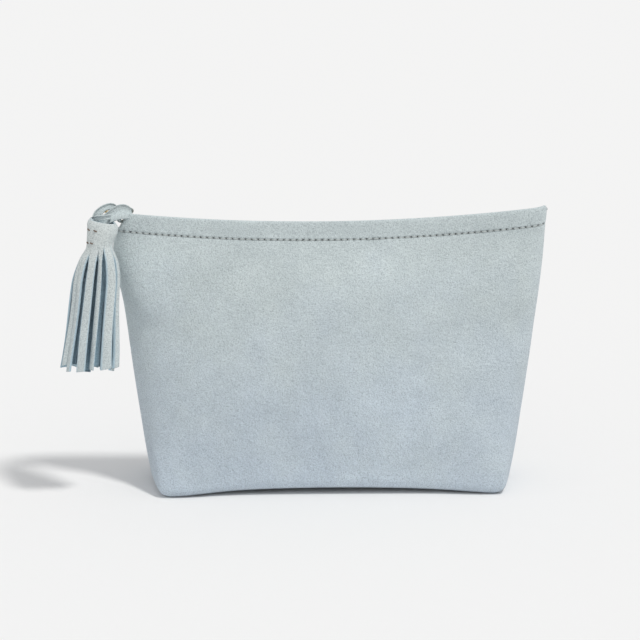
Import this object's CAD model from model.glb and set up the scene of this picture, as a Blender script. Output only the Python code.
from math import cos, exp, pi, radians, sin, sqrt

import bmesh
import bpy
import numpy as np
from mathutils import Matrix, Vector


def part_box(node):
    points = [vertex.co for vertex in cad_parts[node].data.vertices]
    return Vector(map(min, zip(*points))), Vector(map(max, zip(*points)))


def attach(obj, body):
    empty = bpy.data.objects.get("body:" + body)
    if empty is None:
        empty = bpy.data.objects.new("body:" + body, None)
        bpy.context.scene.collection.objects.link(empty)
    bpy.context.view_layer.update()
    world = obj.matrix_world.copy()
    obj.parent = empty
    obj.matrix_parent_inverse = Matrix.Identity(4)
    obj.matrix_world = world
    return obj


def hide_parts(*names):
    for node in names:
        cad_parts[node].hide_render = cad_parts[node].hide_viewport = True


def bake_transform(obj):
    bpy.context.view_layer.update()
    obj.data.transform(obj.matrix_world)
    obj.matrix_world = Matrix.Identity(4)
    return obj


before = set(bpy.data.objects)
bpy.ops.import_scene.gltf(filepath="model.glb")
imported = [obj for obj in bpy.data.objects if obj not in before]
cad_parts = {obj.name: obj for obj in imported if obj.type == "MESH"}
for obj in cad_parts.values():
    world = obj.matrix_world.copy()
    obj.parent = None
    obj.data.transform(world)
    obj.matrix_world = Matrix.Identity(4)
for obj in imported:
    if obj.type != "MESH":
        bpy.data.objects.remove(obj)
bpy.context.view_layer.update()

# A zippered suede pouch. Lengths in this script are millimetres until a mesh is made.
MM = 0.001


def node_box(node):
    """Lowest and highest corner of a CAD node, in millimetres."""
    low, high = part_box(node)
    return np.array(low) / MM, np.array(high) / MM


# ---------- sizes from the frame
panel_low, panel_high = node_box("front_panel")
TOP_HALF_LENGTH = panel_high[0] - 0.5
BASE_HALF_DEPTH = -panel_low[1]
chain_low, chain_high = node_box("front_zipper_teeth")
CHAIN_HEIGHT = (chain_low[2] + chain_high[2]) / 2
tape_low, tape_high = node_box("back_zipper_tape")

# ---------- the pouch's shape
BASE_NARROWING = 20.0
NARROWING_POWER = 1.35
SIDE_HEIGHT = 165.0
MOUTH_HALF_DEPTH = 7.6
MOUTH_HEIGHT = 150.0
EDGE_RADIUS = 7.0
EDGE_PULL_IN = 0.55
LEFT_EDGE = (-132.2, 164.0)
MIDDLE_EDGE = (5.0, 157.6)
RIGHT_EDGE = (132.2, 166.5)
EDGE_CURVE = np.polyfit(*zip(LEFT_EDGE, MIDDLE_EDGE, RIGHT_EDGE), 2)
NOMINAL_EDGE = 164.0           # rows are laid out to this height, then follow the mouth's edge
LEVEL_BELOW = 100.0
SUEDE = 1.25
HEM = 2.4
HEM_DEPTH = 13.0
STITCH_DROP = 10.7
STITCH_PITCH = 3.7
STITCHED_HALF_LENGTH = 123.9
SEAM_GAP = 0.12
BACK_EDGE_SAG = 3.3
BASE_CORNER = 0.945
CORNER_RADIUS = 2.4
LEFT_CORNER_DROP = 9.5         # lets the puller out of the mouth
LEFT_CORNER_START = {-1: -116.6, 1: -118.4}     # front and back
LEFT_BULGE = 3.3
EXIT_SPLAY = 5.0
WALL_SWELL = 2.4
SEAM_DEPTH = 0.75
BASE_WEAR = 0.085
HOLE_DEPTH = 0.8
UNDERSIDE_TONE = 0.55
TABLE_TOP = 170.0              # the walls are worked out up to this height
# where the nap is brushed lighter: x, z, half width, half height, share
BRUSHED_PATCHES = [
    (-106.0, 134.0, 20.0, 18.0, 0.12),
    (34.0, 128.0, 50.0, 16.0, 0.085),
    (40.0, 52.0, 34.0, 26.0, 0.10),
    (6.0, 7.0, 70.0, 9.0, 0.10),
]


def smoothstep(t):
    t = np.clip(t, 0.0, 1.0)
    return t * t * (3.0 - 2.0 * t)


def bell(distance, width):
    """1 at no distance, fading smoothly over width."""
    return np.exp(-(distance / width) ** 2)


def edge_drop(z):
    rise = np.clip(1.0 - z / EDGE_RADIUS, 0.0, 1.0)
    return EDGE_PULL_IN * EDGE_RADIUS * (1.0 - np.sqrt(1.0 - rise * rise))


def half_length(z):
    left = np.clip(1.0 - z / SIDE_HEIGHT, 0.0, 1.0)
    return TOP_HALF_LENGTH - BASE_NARROWING * left ** NARROWING_POWER - edge_drop(z)


def half_depth(z):
    share = np.clip((z - EDGE_RADIUS) / (MOUTH_HEIGHT - EDGE_RADIUS), 0.0, 1.0)
    soft = share - 0.018 * np.sin(2 * pi * share)
    return BASE_HALF_DEPTH + (MOUTH_HALF_DEPTH - BASE_HALF_DEPTH) * soft - edge_drop(z)


def wall_depth(x, z):
    share = min(1.0, z / SIDE_HEIGHT)
    squareness = 17.0 - 10.6 * smoothstep(share / 0.28) + 30.0 * smoothstep((share - 0.56) / 0.30)
    roundness = 2.5 - 1.5 * share
    reach = np.clip(np.abs(x) / half_length(z), 0.0, 1.0)
    lofted = (1.0 - reach ** squareness) ** (1.0 / roundness)
    side_cut = np.clip((1.0 - reach) / (1.0 - BASE_CORNER), 0.0, None)
    boxed = -np.log(np.exp(-9.0 * side_cut) + exp(-9.0)) / 9.0
    boxed = np.clip(boxed - boxed.min(), 0.0, 1.0)
    boxed = boxed / boxed.max()
    share = 0.85 * bell(z, 20.0)
    return half_depth(z) * (lofted * (1.0 - share) + boxed * share)


def edge_line(x):
    """The mouth's edge without its corners: a parabola through three points."""
    return np.polyval(EDGE_CURVE, x)


def back_sag(x, side):
    return BACK_EDGE_SAG * smoothstep((TOP_HALF_LENGTH + 0.3 - np.abs(x)) / 3.2) if side > 0 else 0.0


def edge_height(x, side=-1):
    """The mouth's edge with its corners; the back edge sits a little lower."""
    left_corner = LEFT_CORNER_DROP * smoothstep((LEFT_CORNER_START[side] - x) / 7.5)
    into_corner = np.clip(x - (TOP_HALF_LENGTH - CORNER_RADIUS - 0.6), 0.0, CORNER_RADIUS)
    right_corner = CORNER_RADIUS - np.sqrt(CORNER_RADIUS ** 2 - 0.96 * into_corner ** 2)
    return edge_line(x) - left_corner - right_corner - back_sag(x, side)


def waves(x, z, seed, scale, count=7):
    """Smooth seeded unevenness, about -1 to 1, with features near scale millimetres across."""
    rng = np.random.default_rng(seed)
    total = 0.0
    for _ in range(count):
        angle = rng.uniform(0, pi)
        length = scale * rng.uniform(0.7, 1.6)
        phase = rng.uniform(0, 2 * pi)
        along = np.cos(angle) * x + np.sin(angle) * z
        total = total + np.sin(2 * pi * along / length + phase)
    return total / sqrt(count / 2.0) / 2.0


# ---------- mesh helpers
def merge_points(obj, distance, dissolve=False):
    """Joins points closer than distance millimetres and turns the faces outward."""
    bm = bmesh.new()
    bm.from_mesh(obj.data)
    bmesh.ops.remove_doubles(bm, verts=bm.verts, dist=distance * MM)
    if dissolve:
        bmesh.ops.dissolve_degenerate(bm, dist=distance * MM * 0.2, edges=bm.edges)
    bmesh.ops.recalc_face_normals(bm, faces=bm.faces)
    bm.to_mesh(obj.data)
    bm.free()


def mesh_object(name, points, faces, smooth=True, merge=0.0):
    """A mesh object from points in millimetres."""
    mesh = bpy.data.meshes.new(name)
    mesh.from_pydata((np.asarray(points, float) * MM).tolist(), [], [list(map(int, f)) for f in faces])
    mesh.update()
    obj = bpy.data.objects.new(name, mesh)
    bpy.context.scene.collection.objects.link(obj)
    if merge > 0.0:
        merge_points(obj, merge, dissolve=True)
    mesh.polygons.foreach_set("use_smooth", [smooth] * len(mesh.polygons))
    return obj


def grid_faces(rows, cols, start=0, wrap=False, flip=False):
    """Quads of a grid of rows by cols points, numbered row by row."""
    faces = []
    last = cols if wrap else cols - 1
    for r in range(rows - 1):
        for c in range(last):
            d = (c + 1) % cols
            low, high = start + r * cols, start + (r + 1) * cols
            quad = [low + c, low + d, high + d, high + c]
            faces.append(quad[::-1] if flip else quad)
    return faces


def tube_faces(rows, count, start):
    """Faces of a closed tube of rows rings with count points each."""
    faces = grid_faces(rows, count, start, wrap=True)
    faces.append([start + k for k in range(count)][::-1])
    last = start + (rows - 1) * count
    faces.append([last + k for k in range(count)])
    return faces


def unit(vectors):
    return vectors / np.linalg.norm(vectors, axis=-1, keepdims=True)


def apply_modifiers(obj):
    depsgraph = bpy.context.evaluated_depsgraph_get()
    mesh = bpy.data.meshes.new_from_object(obj.evaluated_get(depsgraph))
    obj.modifiers.clear()
    obj.data = mesh
    return obj


def set_attribute(obj, name, values):
    attribute = obj.data.attributes.new(name, "FLOAT", "POINT")
    attribute.data.foreach_set("value", np.asarray(values, np.float32))


def points_of(obj):
    points = np.empty(len(obj.data.vertices) * 3, float)
    obj.data.vertices.foreach_get("co", points)
    return points.reshape(-1, 3) / MM


# ---------- walls
COLUMNS = np.unique(np.concatenate([
    np.linspace(0.0, 0.012, 8),
    np.linspace(0.012, 0.988, 430),
    np.linspace(0.988, 1.0, 8),
]))
TABLE_HEIGHTS = np.linspace(0.0, TABLE_TOP, 86)


class Wall:
    """Front (side -1) or back (side 1) wall: a smooth surface indexed by column and height."""

    def __init__(self, side, seed, bow, lift, corners=()):
        self.side = side
        xs, ys = [], []
        for z in TABLE_HEIGHTS:
            turn = np.linspace(-pi / 2, pi / 2, 901)
            x = half_length(z) * np.sin(turn)
            y = -wall_depth(x, z)
            steps = np.hypot(np.diff(x), np.diff(y))
            run = np.concatenate([[0.0], np.cumsum(steps)])
            xs.append(np.interp(COLUMNS, run / run[-1], x))
            ys.append(np.interp(COLUMNS, run / run[-1], y))
        x, y = np.array(xs), np.array(ys)
        z = np.repeat(TABLE_HEIGHTS[:, None], x.shape[1], axis=1)
        middle = np.clip(1.0 - (x / 104.0) ** 2, 0.0, 1.0)
        near_wall = smoothstep(-y / 8.0)
        swell = WALL_SWELL * middle * np.sin(pi * np.clip(z / 150.0, 0, 1)) ** 1.5
        uneven = 0.55 * waves(x, z, seed, 85.0) + 0.22 * waves(x, z, seed + 1, 34.0)
        fade = smoothstep(z / 25.0) * smoothstep((158.0 - z) / 30.0)
        y = y - near_wall * (swell + uneven * fade)
        for centre, forward in corners:
            y = y - forward * bell(x - centre, 24.0) * np.exp(-z / 20.0) * near_wall
        y = y + bow * middle * np.exp(-z / 16.0) * near_wall
        self.lift = lift
        beside = 1.0 - 0.5 * smoothstep(-y / 14.0)
        x = x - LEFT_BULGE * bell(z - 134.0, 15.0) * smoothstep((-x - 88.0) / 36.0) * beside
        mouth_wave = 0.35 * waves(x, z * 0.2, seed + 2, 70.0, 4)
        y = y + mouth_wave * smoothstep((z - 130.0) / 25.0) * near_wall
        splay = EXIT_SPLAY * smoothstep((z - 147.0) / 9.0) * smoothstep((-x - 116.0) / 7.0)
        y = -np.sqrt(y * y + splay * splay)
        self.x, self.y, self.z = x, np.minimum(y, -SEAM_GAP), z
        place = np.stack([self.x, self.y, self.z], -1)
        self.normal = unit(np.cross(np.gradient(place, axis=1), np.gradient(place, axis=0)))

    def at(self, heights):
        """Points and normals at heights, an array of rows by columns."""
        out = []
        for field in (self.x, self.y, self.normal[..., 0], self.normal[..., 1], self.normal[..., 2]):
            rows = [np.interp(heights[:, c], TABLE_HEIGHTS, field[:, c]) for c in range(len(COLUMNS))]
            out.append(np.array(rows).T)
        return np.stack([out[0], out[1], heights], -1), unit(np.stack(out[2:], -1))

    def heights(self, nominal):
        """Real heights of nominal rows: level low down, following the mouth's edge near the top."""
        first = np.repeat(nominal[:, None], len(COLUMNS), axis=1)
        x = self.at(np.minimum(first, TABLE_TOP - 2.0))[0][..., 0]
        share = np.clip((first - LEVEL_BELOW) / (NOMINAL_EDGE - LEVEL_BELOW), 0.0, None)
        stretched = LEVEL_BELOW + share * (edge_height(x, self.side) - LEVEL_BELOW)
        return np.where(first < LEVEL_BELOW, first, stretched)

    def surface(self, nominal, inset):
        """Points set in by inset, at nominal heights; the y side is applied."""
        points, normals = self.at(self.heights(nominal))
        outer_x = points[..., 0]
        points = points - normals * inset[:, None, None]
        share = (nominal[:, None] - LEVEL_BELOW) / (NOMINAL_EDGE - LEVEL_BELOW)
        slide = edge_height(points[..., 0], self.side) - edge_height(outer_x, self.side)
        points[..., 2] += np.clip(share, 0.0, 1.0) * slide
        points[..., 1] = np.minimum(points[..., 1], -SEAM_GAP)
        middle = np.clip(1.0 - (points[..., 0] / 100.0) ** 2, 0.0, 1.0)
        outward = smoothstep(-points[..., 1] / 20.0)
        points[..., 2] += self.lift * middle * np.exp(-points[..., 2] / 14.0) * outward
        points[..., 1] *= -self.side
        return points, normals * np.array([1.0, -self.side, 1.0])


front_wall = Wall(-1, seed=11, bow=2.2, lift=3.2, corners=((-90.0, 5.0), (92.0, 2.6)))
back_wall = Wall(1, seed=29, bow=1.5, lift=0.8)


def stitch_height(x, side):
    return edge_line(x) - STITCH_DROP - back_sag(x, side)


def hole_shape(x, drop):
    """1 in the middle of a needle hole, 0 between holes; drop is the distance below the stitch line."""
    phase = (x + STITCHED_HALF_LENGTH) / STITCH_PITCH
    away = (phase - np.round(phase)) * STITCH_PITCH
    inside = np.abs(x) < STITCHED_HALF_LENGTH + 1.0
    return np.exp(-(away / 0.95) ** 4 - (drop / 0.46) ** 2) * inside


def stitched_relief(x, z, side):
    """Outward relief of the hemmed mouth, in millimetres, and the tone of the suede there."""
    drop = stitch_height(x, side) - z
    groove = -0.30 * bell(drop, 0.95)
    holes = -HOLE_DEPTH * hole_shape(x, drop)
    phase = (x + STITCHED_HALF_LENGTH) / STITCH_PITCH
    pull = np.cos(2 * pi * phase)
    pucker = -0.07 * pull * np.exp(-(np.abs(drop) / 2.6) ** 1.3)
    slow = 0.16 * waves(x, z * 0.35, 71, 15.0) * bell(drop - 3.0, 6.5)
    roll = 0.22 * bell(drop + 5.5, 3.6)
    relief = groove + holes + pucker + slow + roll
    band = smoothstep((-drop + 0.4) / 1.2)
    tone = 1.0 + 0.01 * band - 0.04 * bell(drop, 0.8) - 0.92 * hole_shape(x, drop)
    rim = smoothstep((z - edge_height(x, side) + 1.4) / 1.2)
    return relief, tone + 0.05 * rim


def ladder(lower, upper, key):
    """Triangles between two runs of (index, key) pairs, both sorted by key."""
    faces, i, j = [], 0, 0
    while i < len(lower) - 1 or j < len(upper) - 1:
        step_i = i < len(lower) - 1
        if step_i and j < len(upper) - 1:
            step_i = key[lower[i + 1]] <= key[upper[j + 1]]
        if step_i:
            faces.append([lower[i], lower[i + 1], upper[j]])
            i += 1
        else:
            faces.append([lower[i], upper[j + 1], upper[j]])
            j += 1
    return faces


def wall_profile(bottom):
    """Nominal height and inset of each row: up the outside, over the hem, down the inside."""
    turn = np.linspace(0.0, pi / 2, 8)[:-1]
    fold = EDGE_RADIUS * (1.0 - np.cos(turn))
    fold = np.concatenate([[bottom], fold[fold > bottom + 0.15]])
    plain = np.arange(EDGE_RADIUS, 137.0, 2.6)
    fine = np.concatenate([
        np.arange(137.5, 151.0, 0.75),
        np.arange(151.0, 155.0, 0.25),
        np.arange(155.0, NOMINAL_EDGE - HEM / 2 - 0.2, 0.75),
    ])
    outer = np.concatenate([fold, plain, fine])
    over = np.linspace(0.0, pi, 9)
    round_heights = NOMINAL_EDGE - HEM / 2 + HEM / 2 * np.sin(over)
    round_insets = HEM / 2 * (1.0 - np.cos(over))
    hem = np.linspace(NOMINAL_EDGE - HEM / 2 - 1.0, NOMINAL_EDGE - HEM_DEPTH, 8)
    inner = np.linspace(NOMINAL_EDGE - HEM_DEPTH - 0.5, max(bottom, SUEDE), 22)
    nominal = np.concatenate([outer, round_heights, hem, inner])
    inset = np.concatenate([
        np.zeros(len(outer)),
        round_insets,
        np.full(len(hem), HEM),
        np.full(len(inner), SUEDE),
    ])
    return nominal, inset, len(outer), len(outer) + 4


def make_wall(wall, bottom):
    """Points, faces and tone of a closed suede wall; its first row and last row are its lower edges."""
    nominal, inset, outer_rows, crest = wall_profile(bottom)
    points, normals = wall.surface(nominal, inset)
    relief, tone = stitched_relief(points[..., 0], points[..., 2], wall.side)
    outside = np.zeros(len(nominal))
    outside[:outer_rows] = 1.0
    toward_seam = np.minimum(COLUMNS, 1.0 - COLUMNS) * 280.0
    seam = SEAM_DEPTH * bell(toward_seam, 1.5)[None, :]
    relief = relief - seam * smoothstep((nominal - 3.0) / 12.0)[:, None]
    points = points + normals * (relief * outside[:, None])[..., None]
    tone = 1.0 + (tone - 1.0) * np.clip(outside + 0.4, 0, 1)[:, None]
    tone = tone * (1.0 - 0.45 * bell(toward_seam, 1.2))[None, :]
    tone = tone + BASE_WEAR * bell(points[..., 2] - 4.5, 3.5)
    for x, z, wide, high, lighter in BRUSHED_PATCHES:
        away = ((points[..., 0] - x) / wide) ** 2 + ((points[..., 2] - z) / high) ** 2
        tone = tone + lighter * np.exp(-away)
    rows, cols = points.shape[:2]
    flat = points.reshape(-1, 3)
    faces = grid_faces(rows, cols, flip=wall.side > 0)
    for c in (0, cols - 1):
        up = [r * cols + c for r in range(crest + 1)]
        down = [r * cols + c for r in range(rows - 1, crest, -1)]
        faces += ladder(up, down, flat[:, 2])
    return flat, faces, tone.reshape(-1), rows, cols


def floor_between(front_row, back_row, start, steps=14, lift=0.0):
    """Grid of points that runs from the front wall's lower row to the back wall's."""
    share = np.linspace(0.0, 1.0, steps + 1)[:, None, None]
    grid = front_row[None] * (1.0 - share) + back_row[None] * share
    arch = np.sin(pi * share[..., 0])
    width = np.clip((back_row[:, 1] - front_row[:, 1]) / 60.0, 0.0, 1.0)
    grid[..., 2] += lift * arch * width[None, :]
    return grid.reshape(-1, 3), grid_faces(steps + 1, len(COLUMNS), start)


def make_front_panel():
    points, faces, tone, rows, cols = make_wall(front_wall, 0.0)
    outer_front = points[:cols]
    inner_front = points[(rows - 1) * cols:]
    mirror = back_wall.surface(np.array([0.0, SUEDE]), np.array([0.0, SUEDE]))[0]
    under, under_faces = floor_between(outer_front, mirror[0], len(points), lift=0.5)
    above, above_faces = floor_between(inner_front, mirror[1], len(points) + len(under), lift=0.3)
    steps = len(under) // cols - 1
    low = len(points) + steps * cols
    high = low + len(under)
    rim = [[low + c, low + c + 1, high + c + 1, high + c] for c in range(cols - 1)]
    all_points = np.concatenate([points, under, above])
    all_tone = np.concatenate([tone, np.full(len(under), UNDERSIDE_TONE), np.ones(len(above))])
    return all_points, faces + under_faces + above_faces + rim, all_tone


def make_back_panel():
    bottom = SUEDE + 0.15
    points, faces, tone, rows, cols = make_wall(back_wall, bottom)
    last = (rows - 1) * cols
    rim = [[c, c + 1, last + c + 1, last + c] for c in range(cols - 1)]
    return points, faces + rim, tone


def panel_object(name, made):
    points, faces, tone = made
    obj = mesh_object(name, points, faces)
    set_attribute(obj, "tone", tone)
    merge_points(obj, 0.012)
    return obj


# ---------- opening of the mouth
def open_weight(x, z):
    """How far a point follows the back wall: none at the seams, the ends and the base, all in the middle."""
    lens = smoothstep((110.0 - np.abs(x)) / 84.0)
    return lens * smoothstep((z - 2.0) / 32.0)


def follow_mouth(obj, weights=None):
    """obj bends between the bag and the back wall; seams and base stay closed."""
    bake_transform(obj)
    if weights is None:
        points = points_of(obj)
        weights = open_weight(points[:, 0], points[:, 2])


# ---------- materials
def new_material(name):
    material = bpy.data.materials.new(name)
    material.use_nodes = True
    tree = material.node_tree
    return material, tree, tree.nodes["Principled BSDF"]


def place_on_object(tree):
    return tree.nodes.new("ShaderNodeTexCoord").outputs["Object"]


def set_values(shader, values):
    for name, value in values.items():
        shader.inputs[name].default_value = value


def link_bump(tree, shader, height, strength, distance):
    bump = add(tree, "ShaderNodeBump", Strength=strength, Distance=distance)
    tree.links.new(height, bump.inputs["Height"])
    tree.links.new(bump.outputs[0], shader.inputs["Normal"])


def add(tree, kind, **values):
    node = tree.nodes.new(kind)
    for key, value in values.items():
        if hasattr(node, key):
            setattr(node, key, value)
        else:
            node.inputs[key.replace("_", " ")].default_value = value
    return node


def noise(tree, place, scale, detail=2.0, rough=0.5):
    node = add(tree, "ShaderNodeTexNoise", Scale=scale, Detail=detail, Roughness=rough)
    tree.links.new(place, node.inputs["Vector"])
    return node.outputs["Fac"]


def ramp(tree, value, stops):
    node = tree.nodes.new("ShaderNodeValToRGB")
    elements = node.color_ramp.elements
    while len(elements) < len(stops):
        elements.new(0.5)
    for element, (position, colour) in zip(elements, stops):
        element.position = position
        element.color = (*colour, 1.0)
    tree.links.new(value, node.inputs["Fac"])
    return node.outputs["Color"]


def feed(tree, socket, value):
    """Links another node's output to the socket, or sets its value."""
    if hasattr(value, "is_output"):
        tree.links.new(value, socket)
    else:
        socket.default_value = value


def mix_colour(tree, factor, a, b, blend="MIX"):
    node = add(tree, "ShaderNodeMix", data_type="RGBA", blend_type=blend)
    for socket, value in ((node.inputs[0], factor), (node.inputs[6], a), (node.inputs[7], b)):
        feed(tree, socket, (*value, 1.0) if isinstance(value, tuple) else value)
    return node.outputs[2]


def math_node(tree, operation, a, b=0.0, c=0.0):
    node = add(tree, "ShaderNodeMath", operation=operation)
    for socket, value in zip(node.inputs, (a, b, c)):
        feed(tree, socket, value)
    return node.outputs[0]


def suede_material(name, colour, low_colour, tone=False, nap=1.0, edge_colour=None):
    """Brushed suede: mottled nap, soft sheen, slightly bluer towards the base."""
    material, tree, shader = new_material(name)
    place = place_on_object(tree)
    height = add(tree, "ShaderNodeSeparateXYZ")
    tree.links.new(place, height.inputs[0])
    low = math_node(tree, "MULTIPLY", height.outputs[2], 1.0 / 0.165)
    clouds = noise(tree, place, 26.0, 3.0, 0.55)
    drift = math_node(tree, "MULTIPLY", math_node(tree, "SUBTRACT", clouds, 0.5), 0.9)
    low = math_node(tree, "ADD", low, drift)
    base = ramp(tree, low, [(0.05, low_colour), (0.85, colour)])
    fine = noise(tree, place, 1500.0, 3.0, 0.7)
    brushed = noise(tree, place, 150.0, 3.0, 0.6)
    patches = noise(tree, place, 42.0, 4.0, 0.62)
    for grain, stops in (
        (fine, [(0.33, (0.70, 0.715, 0.725)), (0.5, (1.0, 1.0, 1.0)), (0.68, (1.16, 1.155, 1.15))]),
        (brushed, [(0.3, (0.97, 0.971, 0.972)), (0.7, (1.024, 1.023, 1.022))]),
        (patches, [(0.3, (0.94, 0.943, 0.946)), (0.7, (1.05, 1.047, 1.044))]),
    ):
        base = mix_colour(tree, 1.0, base, ramp(tree, grain, stops), "MULTIPLY")
    if edge_colour:
        edge = add(tree, "ShaderNodeAttribute", attribute_name="edge")
        base = mix_colour(tree, edge.outputs["Fac"], base, edge_colour)
    if tone:
        shade = add(tree, "ShaderNodeAttribute", attribute_name="tone")
        grey = add(tree, "ShaderNodeCombineColor")
        for socket in grey.inputs:
            tree.links.new(shade.outputs["Fac"], socket)
        base = mix_colour(tree, 1.0, base, grey.outputs[0], "MULTIPLY")
    tree.links.new(base, shader.inputs["Base Color"])
    set_values(shader, {
        "Roughness": 0.95, "Specular IOR Level": 0.12,
        "Sheen Weight": 0.32, "Sheen Roughness": 0.45, "Sheen Tint": (0.90, 0.96, 1.0, 1.0),
    })
    coarse = noise(tree, place, 640.0, 2.0, 0.5)
    small, large = math_node(tree, "MULTIPLY", fine, 0.65), math_node(tree, "MULTIPLY", coarse, 0.6)
    relief = math_node(tree, "ADD", small, large)
    link_bump(tree, shader, relief, nap, 0.0012)
    return material


def woven_material(name, colour, dark, threads_per_mm, relief=0.5):
    """Plain weave from two crossed waves."""
    material, tree, shader = new_material(name)
    place = place_on_object(tree)
    split = add(tree, "ShaderNodeSeparateXYZ")
    tree.links.new(place, split.inputs[0])
    rate = 2 * pi * threads_per_mm * 1000.0 / 2
    across = math_node(tree, "SINE", math_node(tree, "MULTIPLY", split.outputs[0], rate))
    depth = math_node(tree, "ADD", split.outputs[1], split.outputs[2])
    along = math_node(tree, "SINE", math_node(tree, "MULTIPLY", depth, rate))
    weave = math_node(tree, "MULTIPLY", across, along)
    weave = math_node(tree, "MULTIPLY_ADD", weave, 0.5, 0.5)
    yarn = noise(tree, place, 420.0, 3.0, 0.6)
    base = mix_colour(tree, weave, dark, colour)
    clouds = ramp(tree, yarn, [(0.3, (0.88, 0.88, 0.88)), (0.7, (1.08, 1.08, 1.08))])
    base = mix_colour(tree, 1.0, base, clouds, "MULTIPLY")
    tree.links.new(base, shader.inputs["Base Color"])
    set_values(shader, {"Roughness": 0.85, "Specular IOR Level": 0.25, "Sheen Weight": 0.15})
    link_bump(tree, shader, weave, relief, 0.00025)
    return material


def brass_material(name, colour, roughness, brushed=False):
    """Warm brass with fine scratches and slightly duller hollows."""
    material, tree, shader = new_material(name)
    place = place_on_object(tree)
    stretched = place
    if brushed:
        mapping = add(tree, "ShaderNodeMapping")
        mapping.inputs["Scale"].default_value = (0.15, 1.0, 1.0)
        tree.links.new(place, mapping.inputs["Vector"])
        stretched = mapping.outputs[0]
    scratches = noise(tree, stretched, 2600.0, 2.0, 0.7)
    stains = noise(tree, place, 240.0, 3.0, 0.6)
    tarnish = tuple(0.72 * c for c in colour)
    base = ramp(tree, stains, [(0.32, tarnish), (0.55, colour)])
    tree.links.new(base, shader.inputs["Base Color"])
    shader.inputs["Metallic"].default_value = 1.0
    dull = math_node(tree, "MULTIPLY_ADD", scratches, 0.16, roughness - 0.05)
    tree.links.new(dull, shader.inputs["Roughness"])
    link_bump(tree, shader, scratches, 0.18, 0.0001)
    return material


def thread_material(name, colour, dark):
    """Twisted thread: fine slanting plies."""
    material, tree, shader = new_material(name)
    place = place_on_object(tree)
    wave = add(tree, "ShaderNodeTexWave", Scale=700.0, Distortion=1.5)
    wave.bands_direction = "DIAGONAL"
    tree.links.new(place, wave.inputs["Vector"])
    base = mix_colour(tree, wave.outputs["Fac"], dark, colour)
    tree.links.new(base, shader.inputs["Base Color"])
    shader.inputs["Roughness"].default_value = 0.6
    link_bump(tree, shader, wave.outputs["Fac"], 0.6, 0.0002)
    return material


SUEDE_COLOUR = (0.650, 0.727, 0.738)
SUEDE_LOW_COLOUR = (0.566, 0.647, 0.722)
suede = suede_material("suede", SUEDE_COLOUR, SUEDE_LOW_COLOUR, tone=True)
tassel_suede = suede_material(
    "tassel_suede", (0.68, 0.735, 0.73), (0.58, 0.67, 0.70), nap=0.9, edge_colour=(0.52, 0.67, 0.75))
core_suede = suede_material("tassel_core_suede", (0.34, 0.47, 0.55), (0.24, 0.37, 0.45), nap=0.8)
lace_suede = suede_material("lace_suede", (0.62, 0.70, 0.71), (0.56, 0.66, 0.69), nap=0.8)
lining_cloth = woven_material("lining", (0.62, 0.58, 0.50), (0.47, 0.43, 0.36), 2.2)
tape_cloth = woven_material("zipper_tape", (0.36, 0.45, 0.50), (0.24, 0.32, 0.37), 1.6, relief=0.8)
brass = brass_material("brass", (0.86, 0.62, 0.30), 0.24, brushed=True)
brass_dull = brass_material("brass_teeth", (0.80, 0.58, 0.30), 0.32)
thread = thread_material("thread", (0.66, 0.70, 0.69), (0.42, 0.47, 0.47))
brown_thread = thread_material("tassel_thread", (0.22, 0.15, 0.11), (0.09, 0.06, 0.045))


def fit(obj, material, node, body, weights=None):
    """Gives a piece its material, the body it rides on or bends with, and its CAD node."""
    obj.data.materials.clear()
    obj.data.materials.append(material)
    if body == "back_wall":
        follow_mouth(obj, weights)
    else:
        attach(obj, body)
    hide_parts(node)


# ---------- panels
front_panel = panel_object("front_panel_suede", make_front_panel())
fit(front_panel, suede, "front_panel", "bag")

back_panel = panel_object("back_panel_suede", make_back_panel())
fit(back_panel, suede, "back_panel", "back_wall")


# ---------- topstitching
def outer_point(wall, x, z):
    """Point and normal of a wall's outside at x and z."""
    height = np.full((1, len(COLUMNS)), float(z))
    points, normals = wall.at(height)
    column = np.interp(x, points[0, :, 0], np.arange(len(COLUMNS)))
    lower = int(column)
    share = column - lower
    upper = min(lower + 1, len(COLUMNS) - 1)
    point = points[0, lower] * (1 - share) + points[0, upper] * share
    normal = normals[0, lower] * (1 - share) + normals[0, upper] * share
    flip = np.array([1.0, -wall.side, 1.0])
    return point * flip, unit(normal) * flip


def tube_along(path, radii, sides=8, start=0):
    """Round tube with closed ends along a path; one radius for each point."""
    path = np.asarray(path, float)
    points = []
    tangents = unit(np.gradient(path, axis=0))
    side = np.cross(tangents[0], [0.0, 0.3, 1.0])
    for centre, tangent, radius in zip(path, tangents, radii):
        side = unit(side - tangent * np.dot(side, tangent))
        other = np.cross(tangent, side)
        for k in range(sides):
            angle = 2 * pi * k / sides
            points.append(centre + radius * (cos(angle) * side + sin(angle) * other))
    return points, tube_faces(len(path), sides, start)


STITCH_STEPS = np.linspace(0.0, 1.0, 9)


def thread_radii(radius, end):
    """Radii of one stitch, which thins towards its ends."""
    return [radius * sin(pi * (end + (1 - 2 * end) * t)) ** 0.5 for t in STITCH_STEPS]


def make_topstitch(wall, seed):
    rng = np.random.default_rng(seed)
    points, faces = [], []
    last_start = STITCHED_HALF_LENGTH - STITCH_PITCH * 0.6
    for start_x in np.arange(-STITCHED_HALF_LENGTH, last_start, STITCH_PITCH):
        lean = rng.normal(0.0, 0.10)
        high = rng.uniform(0.24, 0.34)
        path = []
        for t in STITCH_STEPS:
            x = start_x + 0.35 + t * (STITCH_PITCH - 0.7)
            z = float(stitch_height(x, wall.side)) + lean * (t - 0.5) * 2
            point, normal = outer_point(wall, x, z)
            lift = high * sin(pi * t) ** 0.6 - 0.42
            path.append(point + normal * lift)
        radii = thread_radii(0.34, 0.12)
        new_points, new_faces = tube_along(path, radii, 8, len(points))
        points += new_points
        faces += new_faces
    return points, faces


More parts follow.
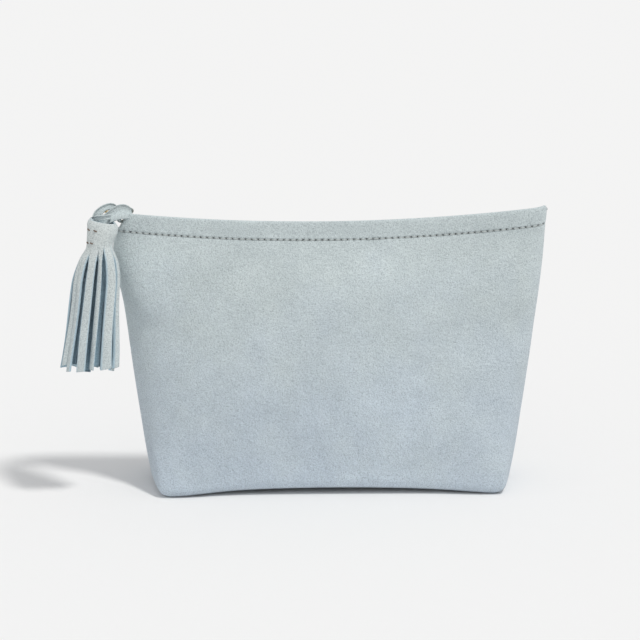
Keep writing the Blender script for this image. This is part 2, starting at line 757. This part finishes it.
for node, wall, seed, body in (("front_topstitch", front_wall, 5, "bag"),
                               ("back_topstitch", back_wall, 6, "back_wall")):
    topstitch = mesh_object(node + "_thread", *make_topstitch(wall, seed))
    fit(topstitch, thread, node, body)


# ---------- lining
LINING_INSET = 1.95
LINING_THICKNESS = 0.45
LINING_TOP = NOMINAL_EDGE - HEM_DEPTH - 1.0
LINING_BOTTOM = 2.4
LINING_COLUMNS = slice(4, -4, 3)
LINING_FLOOR_ROWS = 13


def make_lining(wall, with_floor):
    nominal = np.concatenate([np.linspace(LINING_TOP, 8.0, 34), [5.0, 3.4, LINING_BOTTOM]])
    points, normals = wall.surface(nominal, np.full(len(nominal), LINING_INSET))
    x, z = points[..., 0], points[..., 2]
    crease = 0.5 + 0.45 * waves(x, z, 40 + wall.side, 26.0) + 0.25 * waves(x, z, 50 + wall.side, 11.0)
    keep = smoothstep((nominal - 3.0) / 14.0) * smoothstep((LINING_TOP - nominal + 2.0) / 10.0)
    points = points - normals * (crease * keep[:, None])[..., None]
    points = points[:, LINING_COLUMNS]
    rows, cols = points.shape[:2]
    grid = points.reshape(-1, 3)
    faces = grid_faces(rows, cols, flip=wall.side > 0)
    if with_floor:
        front_row = points[-1]
        back_floor = back_wall.surface(np.array([LINING_BOTTOM]), np.array([LINING_INSET]))[0]
        back_row = back_floor[0, LINING_COLUMNS]
        share = np.linspace(0.0, 1.0, LINING_FLOOR_ROWS)[:, None, None]
        floor = front_row[None] * (1 - share) + back_row[None] * share
        floor[..., 2] += 0.35 * (0.5 + 0.5 * waves(floor[..., 0], floor[..., 1], 60, 22.0))
        faces += grid_faces(LINING_FLOOR_ROWS, cols, len(grid))
        grid = np.concatenate([grid, floor.reshape(-1, 3)])
    return grid, faces


def lining_object(name, wall, with_floor):
    obj = mesh_object(name, *make_lining(wall, with_floor), merge=0.01)
    solid = obj.modifiers.new("thickness", "SOLIDIFY")
    solid.thickness = LINING_THICKNESS * MM
    solid.offset = 0.0
    return apply_modifiers(obj)


front_lining = lining_object("front_lining_cloth", front_wall, True)
fit(front_lining, lining_cloth, "front_lining", "bag")
back_lining = lining_object("back_lining_cloth", back_wall, False)
fit(back_lining, lining_cloth, "back_lining", "back_wall")


# ---------- zipper
HINGE = (-109.0, 0.0, 157.0)
PULLER_RISE = 15.0
PULLER_LENGTH = 24.6
PULLER_HALF_WIDTH = 2.3
PULLER_THICKNESS = 1.2


TAPE_STATIONS = 161
TOOTH_PITCH = 2.8
TOOTH_HALF_HEIGHT = 1.1
TOOTH_END_MARGIN = 0.65        # from the chain's end to the middle of the first tooth


def make_tape(side):
    """L-shaped woven tape with a thicker cord along the teeth."""
    inner, outer = tape_low[1], tape_high[1]
    bottom, top = tape_low[2], tape_high[2]
    middle = CHAIN_HEIGHT
    profile = [
        (inner - 0.5, middle - 0.5), (inner - 0.1, middle - 0.62), (inner + 0.4, middle - 0.3),
        (outer - 0.9, middle - 0.22), (outer - 0.5, middle - 0.7), (outer - 0.45, bottom + 4.0),
        (outer - 0.45, bottom), (outer - 0.02, bottom), (outer, bottom + 4.0),
        (outer, middle - 0.3), (outer - 0.3, top), (inner + 0.4, middle + 0.3),
        (inner - 0.1, middle + 0.62), (inner - 0.5, middle + 0.5),
    ]
    stations = np.linspace(tape_low[0], tape_high[0], TAPE_STATIONS)
    points = []
    for x in stations:
        ripple = 0.08 * sin(x * 0.21 + side)
        pinch = 1.0 - 0.25 * float(smoothstep((abs(x) - 117.0) / 3.0))
        for y, z in profile:
            points.append((x, side * y * (pinch if y > inner else 1.0), z + ripple * (y - inner)))
    return points, tube_faces(TAPE_STATIONS, len(profile), 0)


def cast_shape(bm, edges, rounding, turn_outward=False):
    """Rounds the edges and gives the shape's points and faces."""
    bmesh.ops.bevel(bm, geom=edges, offset=rounding, segments=2, profile=0.6, affect="EDGES")
    if turn_outward:
        bmesh.ops.recalc_face_normals(bm, faces=bm.faces)
    bm.verts.ensure_lookup_table()
    points = np.array([v.co[:] for v in bm.verts])
    faces = [[v.index for v in f.verts] for f in bm.faces]
    bm.free()
    return points, faces


def tooth_mesh():
    """One cast tooth: legs that grip the tape, a waist and a domed head with a small pip."""
    bm = bmesh.new()
    low, high = CHAIN_HEIGHT - TOOTH_HALF_HEIGHT, CHAIN_HEIGHT + TOOTH_HALF_HEIGHT
    plan = [(-0.62, 3.2), (0.62, 3.2), (0.66, 1.9), (0.50, 1.1), (0.58, 0.35),
            (0.46, -0.42), (-0.46, -0.42), (-0.58, 0.35), (-0.50, 1.1), (-0.66, 1.9)]
    bottom = [bm.verts.new((x, y, low)) for x, y in plan]
    top = [bm.verts.new((x, y, high)) for x, y in plan]
    bm.faces.new(bottom[::-1])
    bm.faces.new(top)
    for i in range(len(plan)):
        j = (i + 1) % len(plan)
        bm.faces.new([bottom[i], bottom[j], top[j], top[i]])
    rims = [e for e in bm.edges if abs(e.verts[0].co.z - e.verts[1].co.z) < 0.01]
    return cast_shape(bm, rims, 0.24)


def make_teeth(side):
    node = "front_zipper_teeth" if side < 0 else "back_zipper_teeth"
    low, high = node_box(node)
    count = int(round((high[0] - low[0] - 2 * TOOTH_END_MARGIN) / TOOTH_PITCH)) + 1
    one, one_faces = tooth_mesh()
    points, faces, centres = [], [], []
    for i in range(count):
        centre = low[0] + TOOTH_END_MARGIN + i * TOOTH_PITCH
        moved = one * np.array([1.0, side, 1.0]) + np.array([centre, 0.0, 0.0])
        start = i * len(one)
        for face in one_faces:
            new = [start + k for k in face]
            faces.append(new[::-1] if side < 0 else new)
        points.append(moved)
        centres += [centre] * len(one)
    return np.concatenate(points), faces, np.array(centres)


for side, body in ((-1, "bag"), (1, "back_wall")):
    place = "front" if side < 0 else "back"
    tape = mesh_object(place + "_tape_cloth", *make_tape(side), merge=0.001)
    fit(tape, tape_cloth, place + "_zipper_tape", body)
    tooth_points, tooth_faces, tooth_centres = make_teeth(side)
    teeth = mesh_object(place + "_teeth_brass", tooth_points, tooth_faces, smooth=False)
    tooth_weights = open_weight(tooth_centres, np.full(len(tooth_centres), CHAIN_HEIGHT))
    fit(teeth, brass_dull, place + "_zipper_teeth", body, tooth_weights)


def make_stop(node):
    """Clamped metal stop: the CAD node's box with crimped, rounded edges."""
    low, high = node_box(node)
    bm = bmesh.new()
    middle, size = (low + high) / 2, high - low
    stations = [(-1.0, 0.86), (-0.55, 1.0), (0.0, 0.94), (0.55, 1.0), (1.0, 0.86)]
    rings = []
    for along, wide in stations:
        ring = []
        for sy, sz in ((-1, -1), (1, -1), (1, 1), (-1, 1)):
            place = middle + np.array([along, sy * wide, sz * wide]) * size / 2
            ring.append(bm.verts.new(place.tolist()))
        rings.append(ring)
    for one, two in zip(rings, rings[1:]):
        for k in range(4):
            bm.faces.new([one[k], one[(k + 1) % 4], two[(k + 1) % 4], two[k]])
    bm.faces.new(rings[0][::-1])
    bm.faces.new(rings[-1])
    return cast_shape(bm, bm.edges[:], 0.16, turn_outward=True)


for node in ("front_top_stop", "back_top_stop", "bottom_stop"):
    stop = mesh_object(node + "_brass", *make_stop(node))
    fit(stop, brass_dull, node, "back_wall" if node == "back_top_stop" else "bag")


def rounded_outline(x0, x1, half_width, radius, steps=7):
    """Rectangle with rounded corners, as points in order."""
    points = []
    reach = half_width - radius
    for cx, cy, start in ((x1 - radius, reach, 0), (x0 + radius, reach, 90),
                          (x0 + radius, -reach, 180), (x1 - radius, -reach, 270)):
        for k in range(steps):
            angle = radians(start + 90 * k / (steps - 1))
            points.append((cx + radius * cos(angle), cy + radius * sin(angle)))
    return points


def make_puller():
    """Rounded tab with a window for the bridge and a slot for the lace, rising to the left."""
    curve = bpy.data.curves.new("puller_outline", "CURVE")
    curve.dimensions = "2D"
    curve.fill_mode = "BOTH"
    edge = 0.22
    curve.extrude = (PULLER_THICKNESS / 2 - edge) * MM
    curve.bevel_depth = edge * MM
    curve.bevel_resolution = 3
    outlines = (
        rounded_outline(-PULLER_LENGTH, PULLER_THICKNESS / 2, PULLER_HALF_WIDTH - edge, 1.7),
        rounded_outline(-5.7, -0.75, 1.2 + edge, 0.6),
        rounded_outline(-12.2, -7.8, 1.35 + edge, 0.9),
    )
    for outline in outlines:
        line = curve.splines.new("POLY")
        line.points.add(len(outline) - 1)
        for point, (x, y) in zip(line.points, outline):
            point.co = (x * MM, y * MM, 0.0, 1.0)
        line.use_cyclic_u = True
    source = bpy.data.objects.new("puller_outline", curve)
    bpy.context.scene.collection.objects.link(source)
    depsgraph = bpy.context.evaluated_depsgraph_get()
    mesh = bpy.data.meshes.new_from_object(source.evaluated_get(depsgraph))
    bpy.data.objects.remove(source)
    points = np.array([v.co[:] for v in mesh.vertices]) / MM
    faces = [list(f.vertices) for f in mesh.polygons]
    x, y, z = points.T
    rise = radians(PULLER_RISE)
    along = x * cos(rise) + z * sin(rise)
    up = -x * sin(rise) + z * cos(rise)
    return np.stack([along, y, up], -1) + np.array(HINGE), faces


puller = mesh_object("puller_brass", *make_puller(), merge=0.004)
fit(puller, brass, "puller", "puller")

for node in ("slider_body", "slider_bridge"):
    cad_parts[node].data.materials.clear()
    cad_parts[node].data.materials.append(brass)


# ---------- ribbons of suede
def spline(points, count):
    """Catmull-Rom curve through points, at even parameter steps."""
    points = np.asarray(points, float)
    padded = np.concatenate([[2 * points[0] - points[1]], points, [2 * points[-1] - points[-2]]])
    out = []
    for t in np.linspace(0.0, len(points) - 1.0001, count):
        i = int(t)
        u = t - i
        a, b, c, d = padded[i:i + 4]
        out.append(0.5 * (2 * b + (c - a) * u + (2 * a - 5 * b + 4 * c - d) * u * u
                          + (3 * b - a - 3 * c + d) * u ** 3))
    return np.array(out)


def ribbon(path, across, widths, thickness, start=0, corner=0.42):
    """Soft strip with rounded edges. across gives the width direction at each point."""
    path, across = np.asarray(path, float), np.asarray(across, float)
    tangents = unit(np.gradient(path, axis=0))
    section = []
    for sx, sy in ((1, 1), (-1, 1), (-1, -1), (1, -1)):
        section += [(sx, sy, 0.0, 1.0), (sx, sy, 0.7, 0.7), (sx, sy, 1.0, 0.0)][::sx * sy]
    points = []
    half = thickness / 2
    soft = half * 2 * corner
    for centre, tangent, side, width in zip(path, tangents, across, widths):
        side = unit(side - tangent * np.dot(side, tangent))
        normal = np.cross(tangent, side)
        for sx, sy, ex, ey in section:
            u = sx * (width / 2 - soft + soft * ex)
            v = sy * (half - soft + soft * ey)
            points.append(centre + side * u + normal * v)
    return points, tube_faces(len(path), len(section), start)


# ---------- tassel
wrap_low, wrap_high = node_box("tassel_wrap")
TASSEL_TOP = np.array([-132.0, -16.7, wrap_high[2]])
TASSEL_TIP = np.array([-140.0, -33.4, wrap_low[2]])
TASSEL_AXIS = TASSEL_TIP - TASSEL_TOP
TASSEL_LENGTH = float(np.linalg.norm(TASSEL_AXIS))
HEAD_RADIUS = 9.2
STRIP_COUNT = 12
WRAP_START = 206.0             # degrees
WRAP_TURN = 372.0
STRIP_TURN = WRAP_TURN / STRIP_COUNT
STRIP_WIDTH = 4.45
STRIP_COLUMNS, STRIP_ROWS = 7, 44
SLIT_START = 12.0
SPIRAL_STEP = 1.45             # inward in one turn
WRAP_THICKNESS = 1.25


def tassel_point(angle, run, radius_add=0.0):
    """Point on the tassel's outside: angle in degrees, 270 at the front; run down the axis."""
    share = run / TASSEL_LENGTH
    widening = np.clip((run - 16.0) / (TASSEL_LENGTH - 16.0), 0, 1.2)
    flare = smoothstep((run - 12.0) / 24.0) * 0.5 + 0.5 * widening
    neck = 1.04 - 0.15 * bell(run - 14.0, 5.0) - 0.12 * bell(run, 1.3)
    radius_x = HEAD_RADIUS * neck + 6.5 * flare + radius_add
    radius_y = 0.93 * HEAD_RADIUS * neck - 1.0 * flare + radius_add
    turn = radians(angle)
    shoulder = 0.9 * bell(run - 5.0, 6.0)
    centre = TASSEL_TOP + TASSEL_AXIS * share + np.array([shoulder, 0.0, 0.0])
    slope = -1.6 * cos(turn) * bell(run, 7.0)
    return centre + np.array([radius_x * cos(turn), radius_y * sin(turn), slope])


def narrow_width(run):
    """Share of its angle that a strip keeps, so that it stays as wide as it was cut."""
    here = tassel_point(0.0, run) - tassel_point(180.0, run)
    across = tassel_point(90.0, run) - tassel_point(270.0, run)
    radius = (abs(here[0]) + abs(across[1])) / 4
    return min(1.0, STRIP_WIDTH / (radius * radians(STRIP_TURN)))


def make_wrap(seed):
    """Spiral sheet of suede whose lower part is cut into strips."""
    rng = np.random.default_rng(seed)
    across = STRIP_COLUMNS
    jitter = rng.uniform(-0.26, 0.26, STRIP_COUNT + 1)
    jitter[0] = jitter[-1] = 0.0
    cuts = [WRAP_START + WRAP_TURN * (k + jitter[k]) / STRIP_COUNT for k in range(STRIP_COUNT + 1)]
    slits = SLIT_START + rng.uniform(-1.0, 5.0, STRIP_COUNT + 1)
    slits[0] = slits[-1] = 0.0
    points, faces, edges = [], [], []
    for strip in range(STRIP_COUNT):
        length = TASSEL_LENGTH + rng.uniform(-4.5, 3.0)
        runs = np.linspace(0.0, length, STRIP_ROWS)
        drift = rng.uniform(-9.0, 9.0)
        lift = rng.uniform(-1.0, 1.3)
        twist = rng.uniform(-0.8, 0.8)
        curl = rng.uniform(0.1, 0.5)
        slant = rng.uniform(-1.2, 1.2)
        start = len(points)
        for run in runs:
            free = smoothstep((run - slits[strip]) / 9.0), smoothstep((run - slits[strip + 1]) / 9.0)
            spread = (cuts[strip + 1] - cuts[strip]) * (1.0 - narrow_width(run)) / 2
            gap = [(spread + 1.7) * f for f in free]
            left = cuts[strip] + gap[0] + drift * free[0] * run / TASSEL_LENGTH
            right = cuts[strip + 1] - gap[1] + drift * free[1] * run / TASSEL_LENGTH
            both = min(free)
            for side in (0, 1):
                for k in range(across):
                    u = k / (across - 1)
                    angle = left + (right - left) * u
                    spiral = -SPIRAL_STEP * (angle - WRAP_START) / 360.0
                    bend = both * (curl * (2 * u - 1) ** 2 + twist * (2 * u - 1) * run / TASSEL_LENGTH * 2.2)
                    end_cut = slant * (u - 0.5) * run / length
                    wave = both * 0.5 * sin(run / 11.0 + strip * 1.7)
                    add_radius = spiral - WRAP_THICKNESS * side + lift * both + wave - bend
                    points.append(tassel_point(angle, run + end_cut, add_radius))
                    edges.append(1.0 if side or k in (0, across - 1) and both > 0.3 else 0.0)
        width = 2 * across
        for r in range(STRIP_ROWS - 1):
            a, b = start + r * width, start + (r + 1) * width
            for k in range(across - 1):
                faces.append([a + k, a + k + 1, b + k + 1, b + k])
                faces.append([a + across + k + 1, a + across + k, b + across + k, b + across + k + 1])
            middle_run = (runs[r] + runs[r + 1]) / 2
            if middle_run > slits[strip]:
                faces.append([a, b, b + across, a + across])
            if middle_run > slits[strip + 1]:
                k = across - 1
                faces.append([a + k, a + across + k, b + across + k, b + k])
        for r in (0, STRIP_ROWS - 1):
            a = start + r * width
            for k in range(across - 1):
                faces.append([a + k, a + across + k, a + across + k + 1, a + k + 1])
    return points, faces, edges


def soften(obj, width):
    bevel = obj.modifiers.new("soft edges", "BEVEL")
    bevel.width = width * MM
    bevel.segments = 2
    bevel.limit_method = "ANGLE"
    bevel.angle_limit = radians(40.0)
    apply_modifiers(obj)
    obj.data.polygons.foreach_set("use_smooth", [True] * len(obj.data.polygons))


wrap_points, wrap_faces, wrap_edges = make_wrap(21)
tassel_wrap = mesh_object("tassel_wrap_suede", wrap_points, wrap_faces)
set_attribute(tassel_wrap, "edge", wrap_edges)
merge_points(tassel_wrap, 0.02)
soften(tassel_wrap, 0.28)
fit(tassel_wrap, tassel_suede, "tassel_wrap", "tassel")


ROLL_ROWS, ROLL_SIDES = 12, 28
CORE_RINGS = ((10, 3.9), (6, 6.6))             # strips, distance inside the wrap
CORE_STRIP_WIDTH, CORE_STRIP_THICKNESS = 4.4, 1.15


def make_core(seed):
    """Inner fringe: separate strips in two rings, and the rolled plug in the head."""
    rng = np.random.default_rng(seed)
    points, faces = [], []
    for ring, (count, inset) in enumerate(CORE_RINGS):
        for i in range(count):
            angle0 = 360.0 * (i + 0.5 * ring) / count + rng.uniform(-7, 7)
            length = TASSEL_LENGTH + rng.uniform(-5.0, 2.5)
            path, across = [], []
            for run in np.linspace(4.0, length, 26):
                drift = angle0 + rng.uniform(-0.4, 0.4)
                here = tassel_point(drift, run, -inset)
                there = tassel_point(drift + 6.0, run, -inset)
                path.append(here)
                across.append(there - here)
            widths = [CORE_STRIP_WIDTH] * len(path)
            new_points, new_faces = ribbon(path, across, widths, CORE_STRIP_THICKNESS, len(points))
            points += new_points
            faces += new_faces
    roll = []
    for run in np.linspace(1.6, 22.0, ROLL_ROWS):
        for k in range(ROLL_SIDES):
            roll.append(tassel_point(360.0 * k / ROLL_SIDES, run, -2.9))
    return points + roll, faces + tube_faces(ROLL_ROWS, ROLL_SIDES, len(points))


tassel_core = mesh_object("tassel_core_suede", *make_core(33))
fit(tassel_core, core_suede, "tassel_core", "tassel")


def make_tassel_stitches():
    points, faces = [], []
    for drop, angles in ((4.6, (219.0, 249.0)), (11.6, (216.0, 238.0))):
        for angle in angles:
            path = []
            for t in STITCH_STEPS:
                lift = 0.34 * sin(pi * t) - 0.2
                path.append(tassel_point(angle - 6.5 + 13.0 * t, drop + 0.5 * t, lift))
            radii = thread_radii(0.42, 0.15)
            new_points, new_faces = tube_along(path, radii, 8, len(points))
            points += new_points
            faces += new_faces
    return points, faces


tassel_stitches = mesh_object("tassel_stitch_thread", *make_tassel_stitches())
fit(tassel_stitches, brown_thread, "tassel_stitches", "tassel")


# ---------- lace and knot
LACE_THICKNESS = 1.5
LACE_ROUTE = [
    # place, width direction, width
    ((-134.4, -15.8, 157.6), (0.45, -0.20, -0.86), 5.6),
    ((-131.6, -14.6, 159.4), (0.45, -0.20, -0.86), 6.2),
    ((-127.8, -12.8, 161.4), (0.36, -0.30, -0.86), 6.6),
    ((-123.4, -9.6, 163.5), (0.22, -0.45, -0.86), 8.4),
    ((-119.2, -6.4, 163.7), (0.05, -0.55, -0.82), 9.0),
    ((-116.0, -3.4, 162.4), (-0.05, -0.80, -0.50), 6.6),
    ((-116.8, -0.6, 161.4), (0.00, -1.00, 0.00), 2.8),
    ((-118.6, 0.0, 159.6), (0.00, -1.00, 0.00), 2.4),
    ((-120.4, -0.4, 157.4), (0.00, -1.00, 0.00), 2.6),
    ((-122.8, -2.4, 157.4), (0.25, -0.90, 0.20), 3.0),
    ((-123.4, -4.6, 161.0), (0.50, -0.50, 0.60), 3.4),
    ((-123.8, -5.4, 164.6), (0.70, -0.30, -0.60), 4.2),
    ((-126.8, -6.6, 166.7), (0.40, -0.30, -0.86), 4.2),
    ((-130.8, -8.8, 166.3), (0.24, -0.30, -0.92), 3.8),
    ((-134.2, -11.8, 163.6), (0.62, -0.30, -0.72), 4.8),
    ((-135.2, -14.2, 160.2), (0.85, -0.30, -0.35), 6.0),
]


def make_lace():
    count = 90
    path = spline([p for p, _, _ in LACE_ROUTE], count)
    across = spline([a for _, a, _ in LACE_ROUTE], count)
    widths = spline([[w, 0, 0] for _, _, w in LACE_ROUTE], count)[:, 0]
    return ribbon(path, across, widths, LACE_THICKNESS)


lace = mesh_object("lace_suede", *make_lace())
fit(lace, lace_suede, "lace_loop", "lace")


KNOT_CENTRE = np.array([-132.2, -15.6, 161.9])
KNOT_TURNS = 1.12
KNOT_STEPS = 60


def make_knot():
    """A band of the lace wound round its own two ends on top of the tassel."""
    path, across = [], []
    for t in np.linspace(0.0, KNOT_TURNS, KNOT_STEPS):
        turn = 2 * pi * t + 2.4
        grow = 0.9 * t
        path.append(KNOT_CENTRE + np.array([
            (4.7 + grow) * cos(turn),
            (3.4 + grow) * sin(turn),
            0.9 * cos(turn + 0.7) - 0.6 * t,
        ]))
        across.append((0.12, -0.1, 1.0))
    return ribbon(path, across, [3.2] * KNOT_STEPS, 1.1)


knot = mesh_object("knot_suede", *make_knot())
fit(knot, lace_suede, "lace_knot", "knot")

# ---------- floor, light and camera
left, right, near, far = -9000, 9000, -4000, 14000
floor_corners = [(left, near, 0), (right, near, 0), (right, far, 0), (left, far, 0)]
floor = mesh_object("floor", floor_corners, [[0, 1, 2, 3]])
floor_material, _, floor_shader = new_material("floor")
set_values(floor_shader, {"Base Color": (0.86, 0.86, 0.86, 1.0), "Roughness": 1.0, "Specular IOR Level": 0.0})
floor.data.materials.append(floor_material)

world = bpy.data.worlds.new("studio")
bpy.context.scene.world = world
world.use_nodes = True
background = world.node_tree.nodes["Background"]
set_values(background, {"Color": (0.985, 0.99, 1.0, 1.0), "Strength": 0.63})

sun_data = bpy.data.lights.new("key", "SUN")
sun_data.energy = 1.50
sun_data.angle = radians(8.0)
sun_data.color = (1.0, 0.99, 0.97)
sun = bpy.data.objects.new("key", sun_data)
sun.rotation_euler = Vector((-0.36, 0.25, -0.90)).to_track_quat("-Z", "Y").to_euler()
bpy.context.scene.collection.objects.link(sun)

CAMERA_TARGET = Vector((-6.46, 0.0, 97.3)) * MM
CAMERA_DISTANCE = 1.15
CAMERA_AZIMUTH = radians(-1.5)
CAMERA_ELEVATION = radians(12.9)
camera_data = bpy.data.cameras.new("camera")
camera_data.lens = 109.7
camera_data.sensor_width = 36.0
camera_data.clip_end = 100.0
camera = bpy.data.objects.new("camera", camera_data)
away = Vector((
    sin(CAMERA_AZIMUTH) * cos(CAMERA_ELEVATION),
    -cos(CAMERA_AZIMUTH) * cos(CAMERA_ELEVATION),
    sin(CAMERA_ELEVATION),
))
camera.location = CAMERA_TARGET + away * CAMERA_DISTANCE
camera.rotation_euler = (-away).to_track_quat("-Z", "Y").to_euler()
bpy.context.scene.collection.objects.link(camera)
bpy.context.scene.camera = camera
bpy.context.scene.view_settings.view_transform = "Standard"
